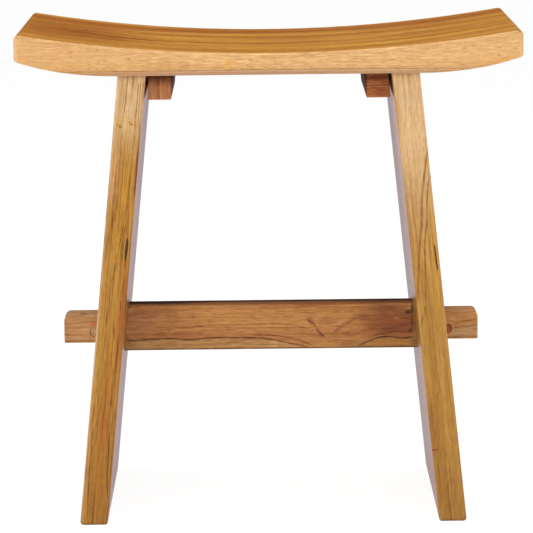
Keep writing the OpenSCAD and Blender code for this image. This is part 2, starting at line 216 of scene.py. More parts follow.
def teakMaterial(name, board):
    # sanded, oiled teak: golden heartwood with darker growth lines, long open pores and a satin skin
    material = bpy.data.materials.new(name)
    tree = emptyTree(material)
    place, squarely = boardPlace(tree, board)
    bent = shifted(tree, place, woodNoise(tree, place, board["wanderSize"]), board["wander"])
    wobble = woodNoise(tree, place, grain["wobbleSize"], grain["wobbleDetail"])
    drawn = shifted(tree, place, wobble, board["wobble"])
    coords = addNode(tree, "SeparateXYZ", [drawn]).outputs
    patches = woodNoise(tree, place, grain["patchSize"])

    # broad drifts of colour along the board, and bands that follow the growth rings
    phase, ringDark, tone = growthRings(tree, bent, board)
    drift = woodNoise(tree, bent, board["driftSize"], grain["driftDetail"])
    drift = addNode(tree, "MapRange", (drift, *grain["noiseRange"]), interpolation_type="SMOOTHSTEP")
    drift = addNode(tree, "Mix", {0: board["banding"], 2: drift, 3: tone})
    colour = addNode(tree, "MixRGB", (drift, linear(board["light"]), linear(board["deep"])))
    # the board's areas: more drifts of colour, and on some boards painted shade and painted light
    for area in board.get("areas", []):
        share = spotShare(tree, drawn, area, patches)
        colour = addNode(tree, "MixRGB", (share, colour, linear(area["colour"])))

    # growth rings, fainter in the first millimetres behind the front face, where veins are drawn singly
    strengths = board["frontRings"], board["rings"]
    share = addNode(tree, "MapRange", (coords[2], *grain["frontDepth"], *strengths))
    share = addNode(tree, "Math", (ringDark, share), operation="MULTIPLY")
    colour = addNode(tree, "MixRGB", (share, colour, linear(board["ringColour"])))

    # a skin of paler sapwood on the front face, with a calmer grain
    calm = 1
    if "skin" in board:
        skin = board["skin"]
        skinColour = addNode(tree, "MixRGB", (drift, linear(skin["light"]), linear(skin["deep"])))
        edges = skin["depth"] + grain["skinEdge"], skin["depth"] - grain["skinEdge"]
        skinShare = addNode(tree, "MapRange", (coords[2], *edges))
        colour = addNode(tree, "MixRGB", (skinShare, colour, skinColour))
        calm = addNode(tree, "Math", (skinShare, -skin["calm"], 1), operation="MULTIPLY_ADD")

    # the veins, lines and bands of this board; a few of them are painted highlights and painted shade
    for vein in board.get("veins", []):
        share = veinShare(tree, coords, vein, patches)
        colour = addNode(tree, "MixRGB", (share, colour, linear(vein["colour"])))

    # dark and pale streaks, and the fibres between them
    streaks = woodNoise(tree, bent, grain["streakSize"], *grain["streakNoise"])
    share = addNode(tree, "MapRange", (streaks, *grain["darkStreaks"], 0, board["streaks"]))
    share = addNode(tree, "Math", (calm, share), operation="MULTIPLY")
    streakColour = linear(board["streakColour"])
    colour = addNode(tree, "MixRGB", (share, colour, streakColour), blend_type="MULTIPLY")
    share = addNode(tree, "MapRange", (streaks, *grain["paleStreaks"], 0, board["streaks"]))
    colour = addNode(tree, "MixRGB", (share, colour, linear(grain["paleColour"])), blend_type="SOFT_LIGHT")
    size = board["fibreLong"], grain["fibreWide"], grain["fibreWide"]
    fibre = woodNoise(tree, bent, size, *grain["fibreNoise"])
    fibre = addNode(tree, "MapRange", (fibre, *grain["noiseRange"]))
    share = addNode(tree, "Math", (fibre, board["fibre"]), operation="MULTIPLY")
    colour = addNode(tree, "MixRGB", (share, colour, streakColour), blend_type="MULTIPLY")

    # thin crisp grain lines, some of them broken
    lines = woodNoise(tree, bent, (board["lineLong"], grain["lineWide"], grain["lineWide"]))
    lines = addNode(tree, "MapRange", (lines, *grain["lineRange"], 0, board["lines"]))
    broken = addNode(tree, "MapRange", (patches, *grain["linePatches"]))
    share = addNode(tree, "Math", (lines, broken), operation="MULTIPLY")
    share = addNode(tree, "Math", (calm, share), operation="MULTIPLY")
    colour = addNode(tree, "MixRGB", (share, colour, linear(board["lineColour"])), blend_type="MULTIPLY")

    # a short-grained mottle, as light catches fibres that run in and out of the face
    mottle = woodNoise(tree, place, grain["mottleSize"], *grain["mottleNoise"])
    share = addNode(tree, "MapRange", (mottle, *grain["mottleRange"], 0, board["mottle"]))
    colour = addNode(tree, "MixRGB", (share, colour, linear(board["mottleColour"])), blend_type="MULTIPLY")

    # its knots, stains and marks, and painted shade and painted highlights in slits, corners and on edges
    for spot in board.get("spots", []):
        share = spotShare(tree, drawn, spot, patches)
        colour = addNode(tree, "MixRGB", (share, colour, linear(spot["colour"])))

    # the open pores lie over everything
    pores = woodPores(tree, bent, phase)
    share = addNode(tree, "Math", (pores, board["pores"]), operation="MULTIPLY")
    colour = addNode(tree, "MixRGB", (share, colour, linear(board["poreColour"])))

    # end grain drinks more oil and turns darker
    share = addNode(tree, "MapRange", (squarely, *grain["endRange"], 0, board["endGrain"]))
    colour = addNode(tree, "MixRGB", (share, colour, linear(grain["endColour"])), blend_type="MULTIPLY")

    # a satin sheen that the fibres break, and a relief of rings, fibres and pores
    spread = [board["roughness"] + s for s in grain["glossSpread"]]
    gloss = addNode(tree, "MapRange", (fibre, 0, 1, *spread))
    relief = addNode(tree, "Math", (ringDark, grain["ringRelief"], pores), operation="MULTIPLY_ADD")
    relief = addNode(tree, "Math", (fibre, grain["fibreRelief"], relief), operation="MULTIPLY_ADD")
    inputs = {"Height": relief, "Strength": board["bump"], "Distance": grain["reliefHeight"]}
    bump = addNode(tree, "Bump", inputs, invert=True)
    wood = addNode(tree, "BsdfPrincipled", {
        "Base Color": colour, "Roughness": gloss, "Normal": bump, "IOR": board["ior"],
        "Specular IOR Level": board["specular"], "Sheen Weight": board["sheen"],
        "Sheen Roughness": board["sheenRoughness"], "Sheen Tint": linear(board["sheenTint"]),
    })
    addNode(tree, "OutputMaterial", [wood])
    return material


# What most boards share: lengths in mm and shares from 0 to 1. The pith is the heart of the tree: how
# far across and how deep it lies, and how fast the rings drift along the board. "wander" bends the
# grain in long waves, and "wobble" makes the marks that are listed one by one a little uneven.
plainBoard = {
    "start": (0, 0, 0), "axes": ((1, 0, 0), (0, 0, 1), (0, 1, 0)),
    "wanderSize": (240, 60, 60), "wander": 9, "wobble": 1.6, "banding": 0.4, "ringsPerBand": 5,
    "pith": (150, 60, 0.03), "ringWidth": 4.4, "rings": 0.5, "frontRings": 0.15, "ringColour": "#8A5527",
    "driftSize": (300, 16, 30), "light": "#CF9B55", "deep": "#BE8440",
    "lines": 0.35, "lineLong": 80, "lineColour": "#A87848",
    "streaks": 0.4, "streakColour": "#B9986A", "fibreLong": 22, "fibre": 0.5,
    "mottle": 0.35, "mottleColour": "#B89C78", "pores": 0.5, "poreColour": "#7A4B25",
    "endGrain": 0.8, "roughness": 0.45, "bump": 0.35, "ior": 1.5, "specular": 0.2,
    "sheen": 0.05, "sheenRoughness": 0.3, "sheenTint": "#E6DFEA",
}

legLean = math.radians(5.65)
leanSin, leanCos = math.sin(legLean), math.cos(legLean)
legFoot = 164.15  # from the bench's middle to the middle of a foot, in mm
legFront = -137.5  # the y of the legs' front faces, in mm

# the seat: pale sapwood on its front edge, golden heartwood with a red-brown band at the back of the top
seatBoard = {
    **plainBoard, "start": (0, -150, 410),
    "pith": (250, -100, 0.02), "ringWidth": 5.5, "rings": 0.7, "frontRings": 0.04, "banding": 0.65,
    "wanderSize": (200, 70, 70), "wander": 12,
    "driftSize": (260, 60, 34), "light": "#D8A448", "deep": "#B87A2D", "ringColour": "#95501C",
    "streaks": 0.3, "fibre": 0.5, "fibreLong": 12, "mottle": 0.2, "endGrain": 0.3, "specular": 0.08,
    "sheen": 0, "lines": 0.4, "lineLong": 60, "lineColour": "#BC8A58", "pores": 0.6,
    "areas": [
        # browner wood at the left end, at the back and in the middle of the top
        {"at": (-185, 36, 150), "size": (100, 60, 170), "strength": 0.75, "colour": "#AA6424"},
        {"at": (150, 30, 230), "size": (120, 60, 80), "strength": 0.45, "colour": "#B8702A"},
        {"at": (30, 20, 165), "size": (90, 60, 36), "strength": 0.4, "colour": "#B06C34"},
    ],
    "skin": {"depth": 3.2, "calm": 0.6, "light": "#E3BA84", "deep": "#D6A972"},
    "veins": [
        # the top: the red-brown band at the back, with a red and a pale line in front of it
        {"on": 2, "path": [(-230, 266), (-131, 252), (-72, 264), (30, 270), (120, 264), (230, 262)],
         "width": 36, "core": 0.4, "strength": 0.6, "colour": "#A85C24", "fade": 0, "patchy": 0.2},
        {"on": 2, "path": [(-190, 224), (-131, 226), (-72, 243), (-10, 252), (80, 260)], "width": 10,
         "strength": 0.6, "colour": "#AD4F1E", "fade": 50, "patchy": 0.5},
        {"on": 2, "path": [(-221, 178), (-176, 184), (-130, 194), (-64, 216), (10, 226)], "width": 6,
         "strength": 0.5, "colour": "#E0AE58", "fade": 50, "patchy": 0.5},
        # brown streaks at the left end and one in the middle
        {"on": 2, "path": [(-226, 150), (-180, 140), (-140, 123), (-80, 104)], "width": 10, "strength": 0.8,
         "colour": "#85450F", "fade": 45, "patchy": 0.3},
        {"on": 2, "path": [(-229, 190), (-190, 178), (-150, 160), (-100, 140)], "width": 7,
         "strength": 0.55, "colour": "#93521A", "fade": 25, "patchy": 0.3},
        {"on": 2, "path": [(-229, 116), (-190, 116), (-150, 106), (-110, 94)], "width": 6, "strength": 0.6,
         "colour": "#8C4C14", "fade": 25, "patchy": 0.3},
        {"on": 2, "path": [(-229, 74), (-191, 84), (-150, 88), (-100, 84)], "width": 8, "strength": 0.7,
         "colour": "#8A4E14", "fade": 35, "patchy": 0.4},
        {"on": 2, "path": [(-30, 112), (0, 114), (25, 120), (60, 132)], "width": 4, "strength": 0.6,
         "colour": "#7E420F", "fade": 25, "patchy": 0.4},
        # two brown streaks and a golden one at the right end
        {"on": 2, "path": [(90, 138), (130, 142), (170, 146), (215, 156)], "width": 10, "strength": 0.7,
         "colour": "#8A4A18", "fade": 35, "patchy": 0.4},
        {"on": 2, "path": [(100, 90), (152, 84), (186, 86), (222, 92)], "width": 7, "strength": 0.55,
         "colour": "#93591C", "fade": 35, "patchy": 0.4},
        {"on": 2, "path": [(40, 66), (109, 60), (170, 74), (226, 88)], "width": 16, "strength": 0.6,
         "colour": "#E2AE4A", "fade": 40, "patchy": 0.3},
        # the front edge: a dark line and a pale painted highlight just above the bevel
        {"path": [(-200, 4.4), (-185, 5.4), (-138, 6.2), (0, 6.4), (91, 6.2), (150, 5.6), (196, 4.6)],
         "width": 0.7, "strength": 0.6, "colour": "#8C5A38", "fade": 10, "reach": 3, "patchy": 0.5},
        {"path": [(-100, 5.2), (-30, 5.3), (91, 5.1), (150, 4.5), (190, 3.8)], "width": 0.8,
         "strength": 0.7, "colour": "#F1CFA6", "fade": 20, "reach": 3, "patchy": 0.3},
    ],
    "spots": [
        # the top: a dark mark at the back edge and two red flecks
        {"at": (-172, 20, 268), "size": (13, 30, 3.5), "strength": 0.7, "colour": "#4A2A12", "patchy": True},
        {"at": (72, 20, 196), "size": (22, 30, 2.4), "strength": 0.5, "colour": "#B0502A"},
        {"at": (148, 20, 230), "size": (24, 30, 2.4), "strength": 0.5, "colour": "#B0502A"},
        # the front edge: a pin knot, two golden marks, a small knot and a brown streak
        {"at": (-125.4, 17.2, 0), "size": (3, 0.8, 3), "strength": 0.9, "colour": "#6A4420"},
        {"at": (-35.9, 11.8, 0), "size": (2.4, 6, 3), "strength": 0.7, "colour": "#D9963F", "core": 0.4},
        {"at": (206.1, 17.4, 0), "size": (1.6, 2.2, 3), "strength": 0.6, "colour": "#A06A30"},
        {"at": (209, 13, 0), "size": (16, 2.4, 3), "strength": 0.6, "colour": "#D08C35", "turn": 16},
        {"at": (-178, 5.2, 0), "size": (16, 1.1, 3), "strength": 0.8, "colour": "#9A5E2A", "turn": 7},
        # a yellower tint towards both ends, and a dark mark at the top front corner on the right
        {"at": (-225, 30, 0), "size": (30, 8, 3), "strength": 0.4, "colour": "#C9A06C"},
        {"at": (-190, 14, 0), "size": (110, 30, 4), "strength": 0.25, "colour": "#CFA064"},
        {"at": (205, 14, 0), "size": (70, 30, 4), "strength": 0.2, "colour": "#CFA064"},
        {"at": (225, 38.5, 3), "size": (7, 1.4, 4), "strength": 0.8, "colour": "#4A3A1C", "turn": -24},
        # the bevel in a duller, pinker brown, partly the wood's own colour and partly painted shade of the
        # downward facet, and painted highlights on the rounded front corners at both ends
        {"at": (0, 1.2, 3), "size": (320, 6, 7), "strength": 0.75, "colour": "#BA9478", "core": 0.5},
        {"at": (-229, 20, 3), "size": (5, 40, 7), "strength": 0.6, "colour": "#DDB896", "core": 0.3},
        {"at": (229, 20, 3), "size": (5, 40, 7), "strength": 0.6, "colour": "#E0B882", "core": 0.3},
    ],
}

# the left leg: golden brown, paler at its top, with two pin knots and a dark pocket
leftLegBoard = {
    **plainBoard, "start": (-legFoot, legFront, 0),
    "axes": ((leanSin, 0, leanCos), (leanCos, 0, -leanSin), (0, 1, 0)),
    "pith": (-130, 150, 0.02), "driftSize": (260, 7, 40), "light": "#C09343", "deep": "#A97930",
    "sheen": 0, "roughness": 0.28, "streaks": 0.3, "fibre": 0.45, "fibreLong": 15, "mottle": 0.2,
    "lines": 0.6, "lineColour": "#A26C3A",
    "areas": [
        # pale top, golden middle and brown foot, then smaller drifts
        {"at": (415, 0, 0), "size": (95, 30, 300), "strength": 0.8, "colour": "#E4C698", "core": 0.3},
        {"at": (300, 0, 0), "size": (90, 8, 60), "strength": 0.6, "colour": "#BF9034"},
        {"at": (0, 4, 0), "size": (150, 24, 300), "strength": 0.6, "colour": "#9C6A2C", "core": 0.2},
        {"at": (120, 0, 0), "size": (80, 5, 40), "strength": 0.4, "colour": "#A8762F"},
        {"at": (195, 9.5, 0), "size": (95, 5.5, 30), "strength": 0.7, "colour": "#A2561F"},
        {"at": (330, 11.5, 0), "size": (50, 3.2, 30), "strength": 0.5, "colour": "#B8742E"},
        {"at": (352, 8.7, 0), "size": (26, 2.4, 40), "strength": 0.6, "colour": "#B99A66"},
        {"at": (322, -7.5, 0), "size": (46, 7.5, 20), "strength": 0.45, "colour": "#E0B47C", "core": 0.3},
        {"at": (100, 2, 0), "size": (120, 6.5, 20), "strength": 0.5, "colour": "#A35E1A", "core": 0.2},
        {"at": (60, -10.5, 0), "size": (100, 4, 20), "strength": 0.4, "colour": "#D09A5C"},
    ],
    "veins": [
        # two long lines that sweep up to the top, and short ones beside them
        {"path": [(181, -4.5), (207, -2.9), (222, -2.4), (240, 0.2), (260, 2.3), (276, 3.8), (291, 5.2),
                  (314, 6.3), (352, 7.1), (411, 7.1)], "width": 0.6, "strength": 0.8, "colour": "#7C4A1E",
         "patchy": 0.5},
        {"path": [(223, -0.2), (240, 2.2), (260, 4.4), (279, 6.3), (314, 7.4)], "width": 0.6,
         "strength": 0.65, "colour": "#8A5522", "patchy": 0.6},
        {"path": [(363, 10.7), (379, 9.2), (411, 8.9)], "width": 0.5, "strength": 0.7, "colour": "#85502A"},
        {"path": [(386, 11.4), (411, 11.1)], "width": 0.5, "strength": 0.6, "colour": "#85502A"},
        {"path": [(381, -5.3), (405, -5.4)], "width": 0.6, "strength": 0.5, "colour": "#A06A35"},
        {"path": [(381, -8.2), (405, -8.3)], "width": 0.6, "strength": 0.4, "colour": "#A06A35"},
        # a broad brown vein on the left, and a dark one at the right edge
        {"path": [(236, -10.3), (253, -9.2), (269, -7.4), (281, -5.2), (298, -4.5), (343, -3.8),
                  (368, -3.8)], "width": 2.1, "strength": 0.6, "colour": "#96602F", "patchy": 0.4,
         "fade": 12},
        {"path": [(300, 12.0), (322, 11.9), (352, 12.3)], "width": 1.2, "core": 0.5, "strength": 0.9,
         "colour": "#7A3F1E", "fade": 12, "reach": 2},
        # dark checks down the right side
        {"path": [(212, 8.3), (232, 8.8)], "width": 1.1, "strength": 0.75, "colour": "#6C3318",
         "patchy": 0.3},
        {"path": [(196, 7.7), (211, 7.4)], "width": 0.9, "strength": 0.8, "colour": "#5F3014"},
        {"path": [(170, 4.1), (187, 4.1)], "width": 0.8, "strength": 0.8, "colour": "#7A3418"},
        {"path": [(143, 8.2), (162, 8.1), (178, 8.1)], "width": 0.8, "strength": 0.85, "colour": "#5F3014",
         "patchy": 0.3},
        {"path": [(137, 6.3), (149, 5.6)], "width": 0.9, "strength": 0.6, "colour": "#84491F"},
        {"path": [(109, 6.1), (122, 5.6)], "width": 0.7, "strength": 0.8, "colour": "#6A3A18"},
        {"path": [(90, 3.3), (103, 2.8)], "width": 0.9, "strength": 0.6, "colour": "#84491F"},
        {"path": [(26, 10.5), (42, 8.8), (62, 8.1), (90, 7.0)], "width": 0.8, "strength": 0.9,
         "colour": "#6E2F16"},
        # fine lines down the left side
        {"path": [(119, -7.9), (147, -7.7)], "width": 0.5, "strength": 0.7, "colour": "#7A4A1E",
         "patchy": 0.6},
        {"path": [(44, -5.2), (76, -5.6), (115, -5.3), (135, -5.6)], "width": 0.5, "strength": 0.65,
         "colour": "#7A4A1E", "patchy": 0.7},
        {"path": [(66, -8.4), (101, -8.8)], "width": 0.6, "strength": 0.65, "colour": "#80491F",
         "patchy": 0.5},
        {"path": [(6, -6.7), (22, -7.0), (58, -8.5)], "width": 0.5, "strength": 0.65, "colour": "#7A4A1E",
         "patchy": 0.5},
        # a painted highlight along the left edge: a pale lilac sheen
        {"path": [(4, -12.4), (200, -12.4), (370, -12.4)], "width": 1.5, "core": 0.3, "strength": 0.5,
         "colour": "#CDBFC2", "fade": 30, "reach": 2},
    ],
    "spots": [
        # two pin knots, each in a golden ring
        {"at": (368.5, -6.4, 0), "size": (4.2, 4.2, 8), "strength": 0.5, "colour": "#C58A34"},
        {"at": (366.6, -6.2, 0), "size": (1.4, 2.4, 8), "strength": 0.85, "colour": "#8A4E18", "core": 0.3},
        {"at": (368.2, -8.8, 0), "size": (1.8, 1.2, 8), "strength": 0.7, "colour": "#8A4E1C"},
        {"at": (371.2, 3.6, 0), "size": (3.8, 3.8, 8), "strength": 0.5, "colour": "#C58A34"},
        {"at": (369.4, 3.6, 0), "size": (1.3, 2.1, 8), "strength": 0.85, "colour": "#8A4E18", "core": 0.3},
        {"at": (371.2, 1.6, 0), "size": (1.8, 1.1, 8), "strength": 0.7, "colour": "#8A4E1C"},
        # the dark pocket and a small knot near the foot
        {"at": (256, 8.6, 0), "size": (13, 1.5, 12), "strength": 1, "colour": "#40301A", "core": 0.7},
        {"at": (19, -6.7, 0), "size": (2, 1, 8), "strength": 0.8, "colour": "#54301A"},
        # the inner face: painted shade in the slit beside the cleat, and a softer, warm painted shade beside
        # the rail
        {"at": (404, 14, 40), "size": (24, 2.8, 48), "strength": 0.97, "colour": "#0E0907", "core": 0.4},
        {"at": (163, 14, 30), "size": (60, 2.8, 45), "strength": 0.35, "colour": "#8A5A2E", "core": 0.1},
    ],
}

# the right leg: pale tan at its top, with flame figure running down to its inner edge
rightLegBoard = {
    **plainBoard, "start": (legFoot, legFront, 0),
    "axes": ((-leanSin, 0, leanCos), (leanCos, 0, leanSin), (0, 1, 0)),
    "pith": (120, 170, 0.02), "driftSize": (260, 8, 40), "light": "#BF954C", "deep": "#A67932",
    "sheen": 0, "roughness": 0.28, "streaks": 0.25, "fibre": 0.4, "fibreLong": 12, "mottle": 0.2,
    "lines": 0.3, "lineColour": "#A8733E",
    "areas": [
        # pale wood down to the middle, then golden, brown towards the foot and at the inner edge
        {"at": (262, 2, 0), "size": (60, 16, 60), "strength": 0.45, "colour": "#D2A662"},
        {"at": (425, -1, 0), "size": (190, 34, 300), "strength": 0.9, "colour": "#E2C090", "core": 0.35},
        {"at": (230, 9, 0), "size": (90, 7, 60), "strength": 0.6, "colour": "#C0903F"},
        {"at": (0, 0, 0), "size": (100, 24, 300), "strength": 0.55, "colour": "#9C7032", "core": 0.2},
        {"at": (90, -9.5, 0), "size": (50, 7, 20), "strength": 0.65, "colour": "#94602A"},
        {"at": (378, -12.5, 0), "size": (44, 5, 20), "strength": 0.7, "colour": "#BE8246"},
    ],
    "veins": [
        # flame figure: a faint line at the top and two dark ones that cross the face
        {"path": [(356, -8.5), (363, -1.6), (373, 2.7), (385, 7.0), (400, 10.4)], "width": 0.8,
         "strength": 0.4, "colour": "#A87C4C", "patchy": 0.4},
        {"path": [(203, -12.4), (213, -10.3), (227, -8.5), (240, -6.7), (257, -3.8), (272, -0.9),
                  (290, 1.6), (308, 4.1), (323, 7.4), (334, 9.9), (344, 13)], "width": 1.7, "strength": 0.8,
         "colour": "#87582C", "patchy": 0.35},
        {"path": [(203, -4.2), (221, -2.3), (236, -1.3), (252, 0.2), (267, 2.3), (279, 4.9), (298, 7.0),
                  (310, 9.2), (321, 13)], "width": 1.0, "strength": 0.85, "colour": "#7A4C22",
         "patchy": 0.35},
        {"path": [(265, -2.6), (284, 0.9), (307, 3.6)], "width": 0.6, "strength": 0.5, "colour": "#9A6A38",
         "patchy": 0.5},
        # dark checks at the lower end of the flames and at the right edge
        {"path": [(192, -6.2), (196, -5.4), (203, -5.9)], "width": 0.9, "strength": 0.85,
         "colour": "#5F3718"},
        {"path": [(180, -11), (190, -8.5), (195, -7.2)], "width": 1.2, "strength": 0.7, "colour": "#7A4A20"},
        {"path": [(230, 9.9), (238, 9.6), (247, 9.6), (257, 8.4)], "width": 0.9, "core": 0.5,
         "strength": 0.95, "colour": "#4A2A12", "fade": 4},
        # plain brown lines down to the foot
        {"path": [(142, 0.2), (203, -0.2)], "width": 1.1, "strength": 0.35, "colour": "#9A6A30",
         "patchy": 0.4},
        {"path": [(11, -9.6), (58, -8.9)], "width": 1.6, "strength": 0.5, "colour": "#8C5A26", "patchy": 0.3},
        {"path": [(10, -2.4), (57, -3.1)], "width": 1.0, "strength": 0.45, "colour": "#94602A",
         "patchy": 0.4},
        {"path": [(10, 2.0), (57, 1.3)], "width": 0.8, "strength": 0.5, "colour": "#8C5A26", "patchy": 0.4},
        {"path": [(17, 4.9), (51, 4.9)], "width": 1.2, "strength": 0.4, "colour": "#94602A", "patchy": 0.4},
    ],
    "spots": [
        # a red-brown crack across the grain, a knot at the foot and a mottle at the top
        {"at": (68, -10, 0), "size": (1.0, 4, 12), "strength": 0.95, "colour": "#7C2A1E", "core": 0.4},
        {"at": (67.4, -3, 0), "size": (0.9, 6, 12), "strength": 0.75, "colour": "#8A4A26"},
        {"at": (3, 11.4, 0), "size": (3, 2, 8), "strength": 0.6, "colour": "#7A4420"},
        {"at": (391, 0, 0), "size": (14, 12, 12), "strength": 0.3, "colour": "#BFA284", "patchy": True},
        # the inner face: painted shade in the slit beside the cleat, and a softer, warm painted shade beside
        # the rail
        {"at": (402, -14, 40), "size": (26, 2.8, 48), "strength": 0.97, "colour": "#0A0706", "core": 0.4},
        {"at": (163, -14, 30), "size": (60, 2.8, 45), "strength": 0.5, "colour": "#B0662E", "core": 0.1},
    ],
}

